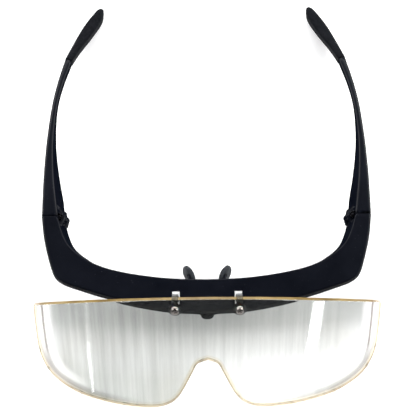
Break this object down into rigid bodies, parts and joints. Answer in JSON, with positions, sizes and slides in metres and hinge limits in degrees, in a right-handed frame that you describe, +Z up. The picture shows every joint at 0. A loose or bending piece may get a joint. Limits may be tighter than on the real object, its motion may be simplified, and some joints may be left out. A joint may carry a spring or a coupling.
{
  "type": "head visor magnifier",
  "caption": "Glasses-style head magnifier: curved brow bar, folding temples with rubber grips, nose pads and a wide clear visor lens that tips up on hooks.",
  "frame": {"origin": "centre of the footprint on the table that the visor rests on, midway across the head and midway from the lens's lower edge to the ear grips' ends", "axes": "+X to the wearer's left-hand side as seen from the front (right in a front view), +Y backwards towards the ear grips, +Z up"},
  "size_m": [0.1544, 0.1995, 0.0334],
  "materials": {
    "black_plastic": "satin",
    "soft_rubber": "matte",
    "clear_acrylic": "polished",
    "clear_plastic": "gloss",
    "white_nylon": "satin",
    "bright_steel": "satin"
  },
  "bodies": {
    "frame": {"brow_bar": "black_plastic", "nose_bridge": "black_plastic", "bridge_screw": "bright_steel", "nose_pad_left": "soft_rubber", "lens_pivot_pin_left": "bright_steel", "hinge_screw_left": "bright_steel", "hinge_nut_left": "bright_steel", "nose_pad_right": "soft_rubber", "lens_pivot_pin_right": "bright_steel", "hinge_screw_right": "bright_steel", "hinge_nut_right": "bright_steel"},
    "temple_left": {"temple_left": "black_plastic", "ear_grip_left": "soft_rubber"},
    "temple_right": {"temple_right": "black_plastic", "ear_grip_right": "soft_rubber"},
    "lens": {"visor_lens": "clear_acrylic", "lens_hook_left": "clear_plastic", "lens_screw_left": "bright_steel", "lens_washer_left": "white_nylon", "lens_nut_left": "bright_steel", "lens_hook_right": "clear_plastic", "lens_screw_right": "bright_steel", "lens_washer_right": "white_nylon", "lens_nut_right": "bright_steel"}
  },
  "joints": [
    {"name": "temple_left_fold", "type": "hinge", "parent": "frame", "child": "temple_left", "pos_m": [-0.0671, -0.0135, 0.015], "axis": [0, 0, -1], "range_deg": [0, 90]},
    {"name": "temple_right_fold", "type": "hinge", "parent": "frame", "child": "temple_right", "pos_m": [0.0671, -0.0135, 0.015], "axis": [0, 0, 1], "range_deg": [0, 79]},
    {"name": "lens_flip", "type": "hinge", "parent": "frame", "child": "lens", "pos_m": [0, -0.0511, 0.0225], "axis": [-1, 0, 0], "range_deg": [-40, 40]}
  ]
}
